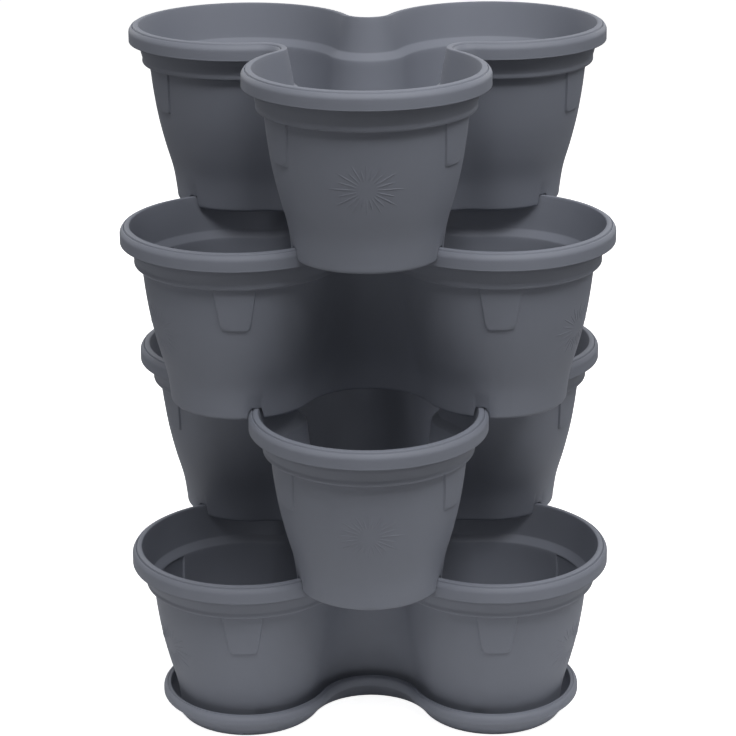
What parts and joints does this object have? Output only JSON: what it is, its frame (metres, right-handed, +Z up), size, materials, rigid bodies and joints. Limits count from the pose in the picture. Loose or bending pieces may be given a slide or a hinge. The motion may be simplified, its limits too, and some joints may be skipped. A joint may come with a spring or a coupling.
{
  "type": "vertical planter tower",
  "caption": "Stacked tower of three-lobed planters, each turned against the one below so that every lobe is an open pocket, standing in a three-lobed drip saucer.",
  "frame": {"origin": "on the tower's vertical axis at the underside of the saucer, which is the middle of the object's footprint", "axes": "+Z up along the tower's axis; -Y is the front, the side that the picture shows, where the top planter has one lobe; +X to the right seen from the front"},
  "size_m": [0.364, 0.3954, 0.5226],
  "materials": {
    "slate_plastic": "moulded polypropylene, slate grey, fine matte surface with a soft sheen"
  },
  "bodies": {
    "saucer": {"drip_saucer": "slate_plastic"},
    "bottom_tier": {"bottom_planter": "slate_plastic"},
    "lower_tier": {"lower_planter": "slate_plastic"},
    "upper_tier": {"upper_planter": "slate_plastic"},
    "top_tier": {"top_planter": "slate_plastic"}
  },
  "joints": [
    {"name": "bottom_lift", "type": "slide", "parent": "saucer", "child": "bottom_tier", "axis": [0, 0, 1], "range_m": [0, 0.06]},
    {"name": "lower_lift", "type": "slide", "parent": "bottom_tier", "child": "lower_tier", "axis": [0, 0, 1], "range_m": [0, 0.06]},
    {"name": "upper_lift", "type": "slide", "parent": "lower_tier", "child": "upper_tier", "axis": [0, 0, 1], "range_m": [0, 0.06]},
    {"name": "top_lift", "type": "slide", "parent": "upper_tier", "child": "top_tier", "axis": [0, 0, 1], "range_m": [0, 0.06]}
  ]
}
